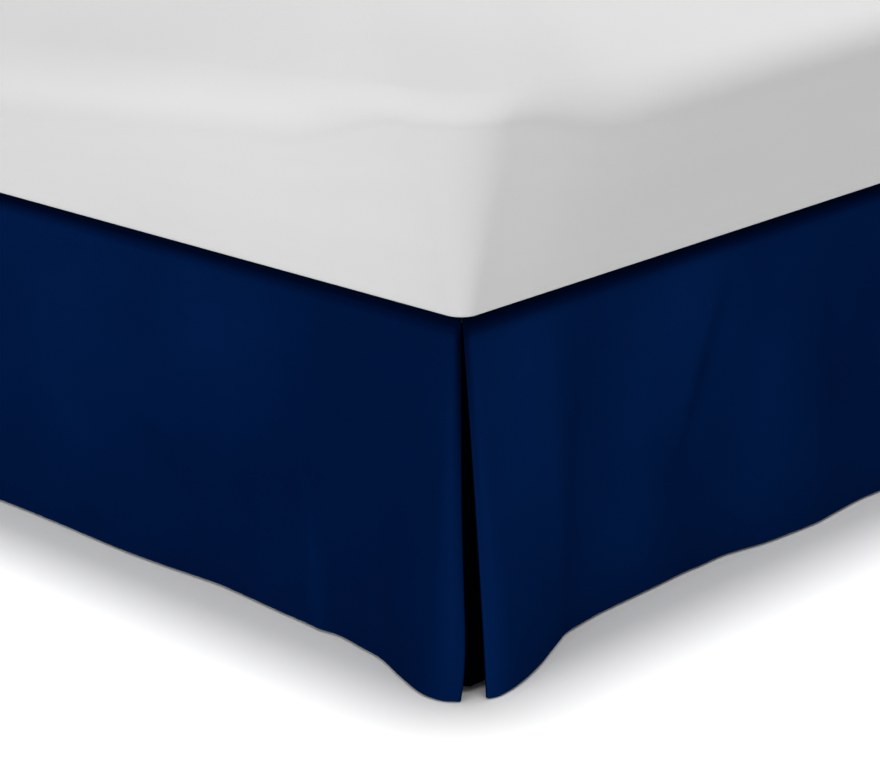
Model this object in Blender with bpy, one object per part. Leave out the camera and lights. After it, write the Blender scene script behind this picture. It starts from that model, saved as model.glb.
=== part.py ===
"""Bed skirt on a queen bed.

A plain skirt hangs on three sides of the bed. Its flat deck lies between box spring and mattress, its
drops fall over the box spring's edge, and each foot corner has an inverted pleat: the two drops end in soft
folds that swing apart towards the hem, with an underlay behind them. The bed is plain: mattress, box spring
and a metal frame.

The head is at +Y, the foot at -Y, the floor at z = 0, and all sizes are in metres.
"""

import math

import bmesh
import bpy

# The cloth
CLOTH = 0.0012
SEAT_GAP = 0.0003
DROP = 0.3810
HEM_Z = 0.0035
SEAM_Z = HEM_Z + DROP
UNDERLAY_LIFT = 0.004

# The mattress, and how far its sides stand out past the skirt's seam
MATTRESS_WIDTH = 1.524
MATTRESS_LENGTH = 2.032
MATTRESS_HEIGHT = 0.212
OVERHANG = 0.007

# The skirt's plan: the hem swings out furthest at the foot corners, and the origin is centred over that
HEM_REACH = 0.064
SEAM_X = MATTRESS_WIDTH / 2 - OVERHANG
FOOT_Y = -(MATTRESS_LENGTH - HEM_REACH + OVERHANG) / 2
HEAD_Y = FOOT_Y + MATTRESS_LENGTH
SEAM_Y = FOOT_Y + OVERHANG
HEAD_INSET = 0.012
FOOT_RUN = 2 * SEAM_X
SIDE_RUN = HEAD_Y - HEAD_INSET - SEAM_Y

# The seam allowance: each drop turns over the edge and lies on the deck
TURN_RADIUS = 0.008
SEAM_ALLOWANCE = 0.013
MITRE_GAP = 0.0008
FOLD_TOP = 0.003
TURN_ROWS = 5

# The box spring stands inside the skirt
BOX_SPRING_INSET = 0.0075
BOX_SPRING_TOP = SEAM_Z - 2 * (CLOTH + SEAT_GAP)
BOX_SPRING_HEAD_INSET = 0.008
BOX_SPRING_EDGE = 0.012
DECK_INSET = 0.0160
DECK_CORNER = 0.015

# The metal frame
FRAME_TOP = 0.180
SIDE_RAIL_SIZE = (0.030, 0.040)
SIDE_RAIL_X = 0.7165
CROSS_RAIL_SIZE = (0.030, 0.030)
CROSS_RAIL_SHARES = (0.06, 0.50, 0.94)
TUBE_EDGE = 0.003
LEG_SIZE = 0.028
GLIDE_RADIUS = 0.018
GLIDE_HEIGHT = 0.012
GLIDE_SIDES = 20

# The hem's plan, in rows of (along, out): metres from the corner where the seams meet, and metres out from
# the seam. Each corner has two turns, one on either side of its pleat. Their first row is the fold at the
# opening.
WIDE_TURN = (
    (-0.0420, 0.0515),
    (-0.0280, 0.0610),
    (-0.0020, 0.0630),
    (0.0400, 0.0490),
    (0.0860, 0.0300),
    (0.1220, 0.0230),
    (0.1570, 0.0170),
)
SHORT_TURN = (
    (-0.0225, 0.0610),
    (-0.0110, 0.0640),
    (0.0240, 0.0600),
    (0.0730, 0.0450),
    (0.1350, 0.0185),
    (0.1800, 0.0090),
)
LEFT_WAVES = (
    (0.186, 0.018),
    (0.250, 0.015),
    (0.318, 0.010),
    (0.353, 0.008),
    (0.383, 0.009),
    (0.443, 0.012),
    (0.513, 0.013),
    (0.623, 0.009),
    (0.736, 0.008),
    (0.900, 0.014),
    (1.060, 0.007),
    (1.230, 0.016),
    (1.400, 0.009),
    (1.590, 0.015),
    (1.760, 0.008),
    (1.900, 0.013),
    (SIDE_RUN, 0.010),
)
FOOT_WAVES = (
    (0.217, 0.005),
    (0.287, 0.004),
    (0.393, 0.005),
    (0.432, 0.003),
    (0.464, 0.007),
    (0.495, 0.013),
    (0.561, 0.021),
    (0.597, 0.023),
    (0.642, 0.020),
    (0.691, 0.015),
    (0.740, 0.016),
    (0.840, 0.009),
    (0.950, 0.017),
    (1.080, 0.008),
    (1.200, 0.013),
    (1.290, 0.010),
)
RIGHT_WAVES = (
    (0.240, 0.007),
    (0.350, 0.015),
    (0.480, 0.006),
    (0.640, 0.013),
    (0.820, 0.008),
    (1.010, 0.016),
    (1.190, 0.007),
    (1.370, 0.014),
    (1.560, 0.008),
    (1.740, 0.015),
    (SIDE_RUN, 0.009),
)

# How the drops hang: the hem's curves fade out towards the seam, a little slower than in straight lines
HANG_BOW = 0.18
DROP_ROWS = 6

# The pleat opens towards the hem: a fold hangs from FOLD_START on the seam, and the cloth near it moves with
# it. The wide turn's fold also sways towards the opening, most of all just above the hem.
FOLD_START = 0.0038
SPREAD = 0.40
FOLD_SWAY = 0.0045
SWAY_SPREAD = 0.06

# The fold at each end of a drop and the short return behind it, at the seam and at the hem
FOLD_RADII = (0.0010, 0.0030)
RETURN_HEADINGS = (math.radians(180), math.radians(150))
RETURN_LENGTH = 0.020
FOLD_STEPS = 4
RETURN_STEPS = 2

# The underlay's plan in rows of (along the foot, along the side), from the corner where the seams meet
UNDERLAY_SEAM = (
    (0.0038, 0.0600),
    (0.0038, 0.0350),
    (0.0038, 0.0170),
    (0.0050, 0.0085),
    (0.0085, 0.0050),
    (0.0170, 0.0038),
    (0.0350, 0.0038),
    (0.0600, 0.0038),
)
UNDERLAY_HEM = (
    (-0.0190, 0.0200),
    (-0.0255, -0.0030),
    (-0.0290, -0.0240),
    (-0.0262, -0.0345),
    (-0.0175, -0.0350),
    (-0.0065, -0.0357),
    (0.0090, -0.0330),
    (0.0290, -0.0240),
)
UNDERLAY_COLUMNS = 16
UNDERLAY_ROWS = 7

# Spacing of the drops' columns: fine at the corners, wider along the runs
COLUMN_ZONES = ((0.20, 0.016), (0.75, 0.038))
FAR_SPACING = 0.085

# The mattress: corner radius at its bottom edge, at the top of its sides and on top, and the turn at its
# bottom edge in rows of (rise, inset)
MATTRESS_CORNERS = (0.020, 0.075, 0.075)
BOTTOM_TURN = ((0.0, 0.0025), (0.0015, 0.0008), (0.004, 0.0))

# Height of its rounded top edge at a corner, past CORNER_REACH from it, midway along a side and along an end
EDGE_HEIGHTS = (0.032, 0.058, 0.098, 0.047)
EDGE_REACH = 1.15

# Its border falls below its corners within CORNER_REACH of each, and along a side sags on over SAG_REACH
CORNER_RISE = 0.016
CORNER_REACH = 0.19
SIDE_SAG = 0.030
SAG_REACH = 0.80
CROWN_REACH = 0.42

# Columns on a quarter round, a side and an end, and rows up the mattress
CORNER_STEPS = 8
SIDE_STEPS = (18, 14)
SIDE_ROWS = 3
EDGE_ROWS = 5
TOP_ROWS = 7
TOP_END = 0.040
SHARP_ANGLE = math.radians(50)

# Materials in rows of (red, green, blue, roughness, metallic)
FINISHES = {
    "navy_cloth": (0.003, 0.010, 0.050, 0.85, 0.0),
    "white_cloth": (0.80, 0.80, 0.80, 0.85, 0.0),
    "ticking": (0.70, 0.69, 0.66, 0.80, 0.0),
    "painted_steel": (0.03, 0.03, 0.03, 0.45, 0.6),
    "black_plastic": (0.02, 0.02, 0.02, 0.60, 0.0),
}


def clear_scene():
    for obj in list(bpy.data.objects):
        bpy.data.objects.remove(obj)


def make_materials():
    materials = {}
    for name, (red, green, blue, roughness, metallic) in FINISHES.items():
        material = bpy.data.materials.new(name)
        material.use_nodes = True
        shader = material.node_tree.nodes["Principled BSDF"]
        shader.inputs["Base Color"].default_value = (red, green, blue, 1.0)
        shader.inputs["Roughness"].default_value = roughness
        shader.inputs["Metallic"].default_value = metallic
        materials[name] = material
    return materials


def add_object(name, mesh, material):
    mesh.materials.append(material)
    obj = bpy.data.objects.new(name, mesh)
    bpy.context.scene.collection.objects.link(obj)
    return obj


def finished_object(name, work, material):
    """The object of a bmesh, smooth but for its sharp edges."""
    mesh = bpy.data.meshes.new(name)
    work.to_mesh(mesh)
    work.free()
    mesh.shade_smooth()
    mesh.set_sharp_from_angle(angle=SHARP_ANGLE)
    return add_object(name, mesh, material)


def mix(start, end, share):
    return start + (end - start) * share


def smooth_step(share):
    share = min(1.0, max(0.0, share))
    return share * share * (3.0 - 2.0 * share)


def curve_through(rows, place):
    """The second column at a place along the first, on a smooth curve through every row."""
    if place <= rows[0][0]:
        return rows[0][1]
    if place >= rows[-1][0]:
        return rows[-1][1]
    last = len(rows) - 1
    index = next(i for i in range(last) if rows[i + 1][0] >= place)
    (x0, y0), (x1, y1) = rows[index], rows[index + 1]

    def slope(i):
        before, after = rows[max(0, i - 1)], rows[min(last, i + 1)]
        return (after[1] - before[1]) / (after[0] - before[0])

    width = x1 - x0
    t = (place - x0) / width
    ease_in = t * (1 - t) ** 2 * width * slope(index)
    ease_out = t * t * (t - 1) * width * slope(index + 1)
    return mix(y0, y1, smooth_step(t)) + ease_in + ease_out


def sheet_object(name, rows, material):
    """A cloth solid from rows of points on its middle surface."""
    width = len(rows[0])
    points = [point for row in rows for point in row]
    faces = []
    for i in range(len(rows) - 1):
        for j in range(width - 1):
            a = i * width + j
            faces.append((a, a + 1, a + width + 1, a + width))
    mesh = bpy.data.meshes.new(name)
    mesh.from_pydata(points, [], faces)
    mesh.shade_smooth()
    obj = add_object(name, mesh, material)
    solid = obj.modifiers.new("Cloth", "SOLIDIFY")
    solid.thickness = CLOTH
    solid.offset = 0.0
    return obj


# ---- The drops ----


def hang_share(depth):
    """How much of the hem's shape a drop has at a share of its depth."""
    return depth * (1.0 + HANG_BOW * (1.0 - depth))


def mirrored(rows, run):
    """The same turn at the other end of a run."""
    return tuple((run - along, out) for along, out in reversed(rows))


def column_places(rows, cornered):
    """Places along a hem from its first row to its last, closer together near each corner."""
    first, last = rows[0][0], rows[-1][0]
    places = [first]
    while places[-1] < last:
        from_corner = places[-1] - first
        if cornered[1]:
            from_corner = min(from_corner, last - places[-1])
        spacing = next((step for limit, step in COLUMN_ZONES if from_corner < limit), FAR_SPACING)
        places.append(places[-1] + spacing)
    stretch = (last - first) / (places[-1] - first)
    return [first + (place - first) * stretch for place in places]


def moved_along(place, fold, depth, sway):
    """How far past its hem place, away from the corner, a point lies at one depth."""
    behind = place - fold
    opening = (FOLD_START - fold) * (1.0 - smooth_step(behind / SPREAD)) * (1.0 - hang_share(depth))
    swaying = sway * (1.0 - smooth_step(behind / SWAY_SPREAD)) * math.sin(math.pi * depth**3)
    return opening - swaying


def front_path(rows, places, sways, depth):
    """The front of a drop in plan at one depth, as (along, out). A sway is None where no fold is."""
    first, last = rows[0][0], rows[-1][0]
    start_sway, end_sway = sways
    path = []
    for place in places:
        along = place
        if start_sway is not None:
            along += moved_along(place, first, depth, start_sway)
        if end_sway is not None:
            along -= moved_along(FOOT_RUN - place, FOOT_RUN - last, depth, end_sway)
        path.append((along, curve_through(rows, place) * hang_share(depth)))
    return path


def turn_in(path, depth):
    """Continues a path past its end, round the fold and back behind the front as the return."""
    (along0, out0), (along1, out1) = path[-2:]
    side = math.copysign(1.0, along1 - along0)
    heading = math.atan2(out0 - out1, abs(along1 - along0))
    last_heading = mix(*RETURN_HEADINGS, depth)
    step = (last_heading - heading) / FOLD_STEPS
    chord = 2.0 * mix(*FOLD_RADII, depth) * math.sin(step / 2)
    legs = [(chord, heading + step * (i + 0.5)) for i in range(FOLD_STEPS)]
    legs += [(RETURN_LENGTH / RETURN_STEPS, last_heading)] * RETURN_STEPS
    for length, angle in legs:
        along, out = path[-1]
        path.append((along + side * length * math.cos(angle), out - length * math.sin(angle)))


def drop_path(rows, places, sways, depth):
    """A drop's whole plan at one depth, with its folded ends."""
    path = front_path(rows, places, sways, depth)
    if sways[1] is not None:
        turn_in(path, depth)
    if sways[0] is not None:
        path.reverse()
        turn_in(path, depth)
        path.reverse()
    return path


def seam_turn(travel):
    """(rise, inward) after a distance along the turn from the drop's top on to the deck."""
    quarter = TURN_RADIUS * math.pi / 2
    if travel < quarter:
        angle = travel / TURN_RADIUS
        return TURN_RADIUS * math.sin(angle), TURN_RADIUS * (1.0 - math.cos(angle))
    return TURN_RADIUS, TURN_RADIUS + travel - quarter


def travel_to(inward):
    """The distance along that turn which ends this far inward."""
    if inward < TURN_RADIUS:
        return TURN_RADIUS * math.acos(1.0 - inward / TURN_RADIUS)
    return TURN_RADIUS * math.pi / 2 + inward - TURN_RADIUS


def drop_rows(rows, sways):
    """Rows of (along, out, z) on a drop's middle surface, from the seam allowance down to the hem."""
    cornered = [sway is not None for sway in sways]
    places = column_places(rows, cornered)
    turn_z = SEAM_Z - CLOTH / 2 - TURN_RADIUS
    path = drop_path(rows, places, sways, 0.0)
    folded = FOLD_STEPS + RETURN_STEPS
    first_front = folded * cornered[0]
    last_front = len(path) - 1 - folded * cornered[1]
    grid = []
    for i in range(TURN_ROWS, 0, -1):
        row = []
        for j, (along, out) in enumerate(path):
            if first_front <= j <= last_front:
                to_corner = min([along] * cornered[0] + [FOOT_RUN - along] * cornered[1])
                reach = min(TURN_RADIUS + SEAM_ALLOWANCE, to_corner - MITRE_GAP)
                rise, inward = seam_turn(travel_to(reach) * i / TURN_ROWS)
            else:
                rise, inward = FOLD_TOP * i / TURN_ROWS, 0.0
            row.append((along, out - inward, turn_z + rise))
        grid.append(row)
    for i in range(DROP_ROWS + 1):
        depth = i / DROP_ROWS
        z = mix(turn_z, HEM_Z, depth)
        grid.append([(along, out, z) for along, out in drop_path(rows, places, sways, depth)])
    return grid


def place_left(along, out, z):
    return -SEAM_X - out, SEAM_Y + along, z


def place_foot(along, out, z):
    return -SEAM_X + along, SEAM_Y - out, z


def place_right(along, out, z):
    return SEAM_X + out, SEAM_Y + along, z


def make_drops(material):
    """The left corner's pleat has its wide turn on the left side, the right corner's has it on the foot."""
    left = WIDE_TURN + LEFT_WAVES
    foot = SHORT_TURN + FOOT_WAVES + mirrored(WIDE_TURN, FOOT_RUN)
    right = SHORT_TURN + RIGHT_WAVES
    drops = (
        ("skirt_drop_left", left, (FOLD_SWAY, None), place_left),
        ("skirt_drop_foot", foot, (0.0, FOLD_SWAY), place_foot),
        ("skirt_drop_right", right, (0.0, None), place_right),
    )
    for name, rows, sways, placed in drops:
        grid = [[placed(*point) for point in row] for row in drop_rows(rows, sways)]
        sheet_object(name, grid, material)


# ---- The underlay behind each pleat, and the deck ----


def along_curve(points, count):
    """Evenly spaced points on a smooth plan curve through the points given."""
    lengths = [0.0]
    for before, after in zip(points, points[1:]):
        lengths.append(lengths[-1] + math.dist(before, after))
    x_rows = tuple(zip(lengths, (point[0] for point in points)))
    y_rows = tuple(zip(lengths, (point[1] for point in points)))
    places = [lengths[-1] * i / (count - 1) for i in range(count)]
    return [(curve_through(x_rows, place), curve_through(y_rows, place)) for place in places]


def make_underlays(material):
    seam = along_curve(UNDERLAY_SEAM, UNDERLAY_COLUMNS)
    hem = along_curve(UNDERLAY_HEM, UNDERLAY_COLUMNS)
    top = SEAM_Z - CLOTH / 2 - TURN_RADIUS
    corners = (("left", 1.0, 0.0, -SEAM_X), ("right", 0.0, 1.0, SEAM_X))
    for side, cosine, sine, corner_x in corners:
        grid = []
        for i in range(UNDERLAY_ROWS + 1):
            depth = i / UNDERLAY_ROWS
            z = mix(top, HEM_Z + UNDERLAY_LIFT, depth)
            share = hang_share(depth)
            row = []
            for (x0, y0), (x1, y1) in zip(seam, hem):
                x, y = mix(x0, x1, share), mix(y0, y1, share)
                row.append((corner_x + cosine * x - sine * y, SEAM_Y + sine * x + cosine * y, z))
            grid.append(row)
        sheet_object(f"pleat_underlay_{side}", grid, material)


def corner_point(low, high, radius, quarter, share):
    """A point on the quarter round at one corner of a plan rectangle."""
    centre_x = low[0] + radius if quarter in (1, 2) else high[0] - radius
    centre_y = low[1] + radius if quarter in (2, 3) else high[1] - radius
    angle = math.pi / 2 * (quarter + share)
    return centre_x + radius * math.cos(angle), centre_y + radius * math.sin(angle)


def rounded_outline(low, high, radius, z):
    """Points at one height round a rectangle with round corners, between two plan corners."""
    points = []
    for quarter in range(4):
        for step in range(CORNER_STEPS + 1):
            points.append((*corner_point(low, high, radius, quarter, step / CORNER_STEPS), z))
    return points


def stacked_object(name, outlines, material):
    """A closed solid through outlines stacked upwards, with a flat face at each end."""
    work = bmesh.new()
    loops = [[work.verts.new(point) for point in outline] for outline in outlines]
    count = len(loops[0])
    for lower, upper in zip(loops, loops[1:]):
        for i in range(count):
            j = (i + 1) % count
            work.faces.new((lower[i], lower[j], upper[j], upper[i]))
    work.faces.new(reversed(loops[0]))
    work.faces.new(loops[-1])
    return finished_object(name, work, material)


def make_deck(material):
    low = (-SEAM_X + DECK_INSET, SEAM_Y + DECK_INSET)
    high = (SEAM_X - DECK_INSET, HEAD_Y - HEAD_INSET)
    bottom = BOX_SPRING_TOP + SEAT_GAP
    outlines = [rounded_outline(low, high, DECK_CORNER, z) for z in (bottom, bottom + CLOTH)]
    stacked_object("skirt_deck", outlines, material)


# ---- The bed ----


def mattress_columns():
    """Columns round the mattress as (quarter, place): place is up to 1 on a corner, from 1 to 2 on a side."""
    columns = []
    for quarter in range(4):
        columns += [(quarter, i / CORNER_STEPS) for i in range(CORNER_STEPS)]
        steps = SIDE_STEPS[1 - quarter % 2]
        columns += [(quarter, 1.0 + i / steps) for i in range(steps)]
    return columns


def column_point(inset, radius, column):
    """A column's point in plan at an inset from the mattress's sides."""
    quarter, place = column
    low = (-MATTRESS_WIDTH / 2 + inset, FOOT_Y + inset)
    high = (MATTRESS_WIDTH / 2 - inset, HEAD_Y - inset)
    if place < 1.0:
        return corner_point(low, high, radius, quarter, place)
    start = corner_point(low, high, radius, quarter, 1.0)
    end = corner_point(low, high, radius, (quarter + 1) % 4, 0.0)
    return mix(start[0], end[0], place - 1.0), mix(start[1], end[1], place - 1.0)


def column_edge(column):
    """(height, drop): how high a column's rounded edge is, and how far its border lies below the middle."""
    quarter, place = column
    along_side = quarter % 2 == 1
    at_corner, past_corner, mid_side, mid_end = EDGE_HEIGHTS
    to_middle = 0.0 if place < 1.0 else 1.0 - abs(2.0 * (place - 1.0) - 1.0)
    from_corner = to_middle * (MATTRESS_LENGTH if along_side else MATTRESS_WIDTH) / 2
    past = smooth_step(from_corner / CORNER_REACH)
    middle = smooth_step(to_middle)
    at_middle = mid_side if along_side else mid_end
    height = mix(at_corner, past_corner, past) + (at_middle - past_corner) * middle
    drop = CORNER_RISE * past + SIDE_SAG * smooth_step(from_corner / SAG_REACH) * along_side
    return height, drop


def make_mattress(material):
    """Square at its bottom edge, with soft top edges that sag between its corners, and a crowned middle."""
    bottom = SEAM_Z + SEAT_GAP
    top = bottom + MATTRESS_HEIGHT
    bottom_radius, side_radius, top_radius = MATTRESS_CORNERS
    columns = mattress_columns()
    edges = [column_edge(column) for column in columns]
    outlines = []
    for rise, inset in BOTTOM_TURN:
        outlines.append([(*column_point(inset, bottom_radius, column), bottom + rise) for column in columns])
    foot = bottom + BOTTOM_TURN[-1][0]
    for i in range(1, SIDE_ROWS + 1):
        share = i / SIDE_ROWS
        radius = mix(bottom_radius, side_radius, share)
        outline = []
        for column, (height, drop) in zip(columns, edges):
            outline.append((*column_point(0.0, radius, column), mix(foot, top - drop - height, share)))
        outlines.append(outline)
    for i in range(1, EDGE_ROWS + TOP_ROWS + 1):
        outline = []
        for column, (height, drop) in zip(columns, edges):
            last_angle = math.atan2(1.0, drop * math.pi / 2 / CROWN_REACH * EDGE_REACH)
            angle = last_angle * min(1.0, i / EDGE_ROWS)
            inset = height * EDGE_REACH * (1.0 - math.cos(angle))
            z = top - drop - height * (1.0 - math.sin(angle))
            radius = mix(side_radius, top_radius, math.sin(angle))
            if i > EDGE_ROWS:
                start = inset
                inset = mix(start, MATTRESS_WIDTH / 2 - TOP_END, (i - EDGE_ROWS) / TOP_ROWS)
                z = mix(z, top, math.sin(math.pi / 2 * min(1.0, (inset - start) / CROWN_REACH)))
                radius = min(radius, 0.9 * (MATTRESS_WIDTH / 2 - inset))
            outline.append((*column_point(inset, radius, column), z))
        outlines.append(outline)
    stacked_object("mattress", outlines, material)


def rounded_box(name, low, high, edge, segments, material):
    """A box between two corners, with its edges rounded, or chamfered where segments is 1."""
    work = bmesh.new()
    bmesh.ops.create_cube(work, size=1.0)
    for vertex in work.verts:
        for axis in range(3):
            vertex.co[axis] = mix(low[axis], high[axis], vertex.co[axis] + 0.5)
    bmesh.ops.bevel(work, geom=work.edges[:], offset=edge, segments=segments, profile=0.5, affect="EDGES")
    return finished_object(name, work, material)


def make_box_spring(material):
    low = (-SEAM_X + BOX_SPRING_INSET, SEAM_Y + BOX_SPRING_INSET, FRAME_TOP + SEAT_GAP)
    high = (SEAM_X - BOX_SPRING_INSET, HEAD_Y - BOX_SPRING_HEAD_INSET, BOX_SPRING_TOP)
    rounded_box("box_spring", low, high, BOX_SPRING_EDGE, 3, material)


def make_leg(name, x, y, top, steel, plastic):
    half = LEG_SIZE / 2
    low = (x - half, y - half, GLIDE_HEIGHT + SEAT_GAP)
    high = (x + half, y + half, top - SEAT_GAP)
    rounded_box(f"leg_{name}", low, high, TUBE_EDGE, 1, steel)
    work = bmesh.new()
    bmesh.ops.create_cone(
        work,
        cap_ends=True,
        segments=GLIDE_SIDES,
        radius1=GLIDE_RADIUS,
        radius2=GLIDE_RADIUS,
        depth=GLIDE_HEIGHT,
    )
    glide = finished_object(f"glide_{name}", work, plastic)
    glide.location = (x, y, GLIDE_HEIGHT / 2)


def make_frame(steel, plastic):
    rail_width, rail_height = SIDE_RAIL_SIZE
    rail_low = SEAM_Y + BOX_SPRING_INSET + BOX_SPRING_EDGE
    rail_high = HEAD_Y - BOX_SPRING_HEAD_INSET - BOX_SPRING_EDGE
    for side, sign in (("left", -1), ("right", 1)):
        x = sign * SIDE_RAIL_X
        low = (x - rail_width / 2, rail_low, FRAME_TOP - rail_height)
        high = (x + rail_width / 2, rail_high, FRAME_TOP)
        rounded_box(f"side_rail_{side}", low, high, TUBE_EDGE, 1, steel)
    cross_width, cross_height = CROSS_RAIL_SIZE
    cross_end = SIDE_RAIL_X - rail_width / 2 - SEAT_GAP
    for station, share in zip(("foot", "middle", "head"), CROSS_RAIL_SHARES):
        y = mix(rail_low, rail_high, share)
        low = (-cross_end, y - cross_width / 2, FRAME_TOP - cross_height)
        high = (cross_end, y + cross_width / 2, FRAME_TOP)
        rounded_box(f"cross_rail_{station}", low, high, TUBE_EDGE, 1, steel)
        make_leg(f"{station}_centre", 0.0, y, FRAME_TOP - cross_height, steel, plastic)
        if station == "middle":
            continue
        for side, sign in (("left", -1), ("right", 1)):
            name = f"{station}_{side}"
            make_leg(name, sign * SIDE_RAIL_X, y, FRAME_TOP - rail_height, steel, plastic)


def main():
    clear_scene()
    materials = make_materials()
    navy = materials["navy_cloth"]
    make_deck(navy)
    make_drops(navy)
    make_underlays(navy)
    make_mattress(materials["white_cloth"])
    make_box_spring(materials["ticking"])
    make_frame(materials["painted_steel"], materials["black_plastic"])


main()
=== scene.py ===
"""Looks of the bed skirt on a bed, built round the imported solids.

Metres, +Z up, the head of the bed at +Y.
"""

import math

import bmesh
import bpy
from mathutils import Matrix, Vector, noise


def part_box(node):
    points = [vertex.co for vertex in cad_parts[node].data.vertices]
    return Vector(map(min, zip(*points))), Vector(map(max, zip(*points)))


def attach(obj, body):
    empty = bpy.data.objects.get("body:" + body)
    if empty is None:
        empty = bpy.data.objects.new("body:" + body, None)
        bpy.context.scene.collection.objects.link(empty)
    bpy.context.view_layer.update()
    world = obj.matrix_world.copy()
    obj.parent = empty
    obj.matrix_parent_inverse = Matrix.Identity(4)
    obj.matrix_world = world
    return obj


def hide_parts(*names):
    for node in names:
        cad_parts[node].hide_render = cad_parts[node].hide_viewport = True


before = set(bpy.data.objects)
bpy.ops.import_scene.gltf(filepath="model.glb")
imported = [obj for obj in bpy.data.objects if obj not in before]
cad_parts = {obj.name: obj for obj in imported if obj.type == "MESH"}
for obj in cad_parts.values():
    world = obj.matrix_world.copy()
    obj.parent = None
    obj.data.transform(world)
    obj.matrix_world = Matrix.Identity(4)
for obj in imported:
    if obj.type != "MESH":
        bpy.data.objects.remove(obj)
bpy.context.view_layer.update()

# ---- Driving sizes, read from the imported solids where they hold them ----

MATTRESS_LOW, MATTRESS_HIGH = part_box("mattress")
BOX_SPRING_LOW, BOX_SPRING_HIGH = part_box("box_spring")
DROP_LOW, DROP_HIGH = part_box("skirt_drop_left")
DECK_LOW, DECK_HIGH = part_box("skirt_deck")

CAD_CLOTH = 0.0012
CLOTH = 0.0008
OVERHANG = 0.007
SEAM_X = MATTRESS_HIGH.x - OVERHANG
SEAM_Y = MATTRESS_LOW.y + OVERHANG
SEAM_Z = DROP_HIGH.z
HEM_Z = DROP_LOW.z
FOOT_RUN = 2 * SEAM_X
SIDE_RUN = DROP_HIGH.y - SEAM_Y

# ---- Camera ----

FOCAL_PIXELS = 2824
IMAGE_WIDTH = 880
SENSOR_WIDTH = 36.0
CAMERA_PITCH = math.radians(18.81)
CAMERA_HEADING = math.radians(42.76)
CAMERA_FROM_CORNER = (-1.953, -1.776)
CAMERA_ABOVE_SEAM = 0.831


def make_camera():
    """Looks down on the foot-left corner of the mattress through a long lens."""
    camera = bpy.data.objects.new("camera", bpy.data.cameras.new("camera"))
    bpy.context.scene.collection.objects.link(camera)
    camera.location = (
        MATTRESS_LOW.x + CAMERA_FROM_CORNER[0],
        MATTRESS_LOW.y + CAMERA_FROM_CORNER[1],
        SEAM_Z + CAMERA_ABOVE_SEAM,
    )
    level = math.cos(CAMERA_PITCH)
    forward = Vector(
        (level * math.cos(CAMERA_HEADING), level * math.sin(CAMERA_HEADING), -math.sin(CAMERA_PITCH))
    )
    camera.rotation_euler = forward.to_track_quat("-Z", "Y").to_euler()
    camera.data.sensor_width = SENSOR_WIDTH
    camera.data.lens = FOCAL_PIXELS / IMAGE_WIDTH * SENSOR_WIDTH
    camera.data.clip_start = 0.05
    bpy.context.scene.camera = camera


# ---- Light and floor ----

# Suns in rows of (name, towards the light as x, y, z, strength, angle in degrees)
SUNS = (
    ("overhead", (0.235, 0.215, 0.97), 2.55, 18.0),
    ("fill", (-0.20, -0.31, 0.97), 0.48, 40.0),
    ("left_key", (-1.00, 0.0, 0.10), 2.10, 40.0),
    ("foot_key", (0.0, -1.00, 0.10), 0.28, 40.0),
)
WORLD_STRENGTH = 0.50
FLOOR_SIZE = 40.0
FLOOR_COLOUR = (0.93, 0.93, 0.93)


def make_light():
    for name, towards, strength, angle in SUNS:
        lamp = bpy.data.lights.new(name, "SUN")
        lamp.energy = strength
        lamp.angle = math.radians(angle)
        sun = bpy.data.objects.new(name, lamp)
        bpy.context.scene.collection.objects.link(sun)
        sun.rotation_euler = Vector(towards).to_track_quat("Z", "Y").to_euler()
    world = bpy.data.worlds.new("studio")
    bpy.context.scene.world = world
    world.use_nodes = True
    background = world.node_tree.nodes["Background"]
    background.inputs["Color"].default_value = (1.0, 1.0, 1.0, 1.0)
    background.inputs["Strength"].default_value = WORLD_STRENGTH
    bpy.context.scene.view_settings.view_transform = "Standard"


def make_floor():
    half = FLOOR_SIZE / 2
    mesh = bpy.data.meshes.new("floor")
    corners = [(-half, -half, 0), (half, -half, 0), (half, half, 0), (-half, half, 0)]
    mesh.from_pydata(corners, [], [(0, 1, 2, 3)])
    floor = bpy.data.objects.new("floor", mesh)
    bpy.context.scene.collection.objects.link(floor)
    material, _, _, shader = new_material("studio_floor", 0.9)
    shader.inputs["Base Color"].default_value = (*FLOOR_COLOUR, 1.0)
    mesh.materials.append(material)


# ---- Materials ----


def new_material(name, roughness, specular=0.2):
    material = bpy.data.materials.new(name)
    material.use_nodes = True
    nodes, links = material.node_tree.nodes, material.node_tree.links
    shader = nodes["Principled BSDF"]
    shader.inputs["Roughness"].default_value = roughness
    shader.inputs["Specular IOR Level"].default_value = specular
    return material, nodes, links, shader


def math_node(nodes, links, operation, first, second):
    node = nodes.new("ShaderNodeMath")
    node.operation = operation
    for socket, value in zip(node.inputs, (first, second)):
        if hasattr(value, "links"):
            links.new(value, socket)
        else:
            socket.default_value = value
    return node.outputs[0]


def noise_node(nodes, links, vector, scale, detail=3.0, roughness=0.5):
    node = nodes.new("ShaderNodeTexNoise")
    node.inputs["Scale"].default_value = scale
    node.inputs["Detail"].default_value = detail
    node.inputs["Roughness"].default_value = roughness
    links.new(vector, node.inputs["Vector"])
    return node.outputs["Fac"]


def weave_height(nodes, links, vector, pitch, axes):
    """A plain weave: over and under threads at this pitch along two axes of the vector."""
    split = nodes.new("ShaderNodeSeparateXYZ")
    links.new(vector, split.inputs[0])
    waves = []
    for axis in axes:
        turned = math_node(nodes, links, "MULTIPLY", split.outputs[axis], math.pi / pitch)
        waves.append(math_node(nodes, links, "SINE", turned, 0.0))
    crossed = math_node(nodes, links, "MULTIPLY", waves[0], waves[1])
    return math_node(nodes, links, "ABSOLUTE", crossed, 0.0)


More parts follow.
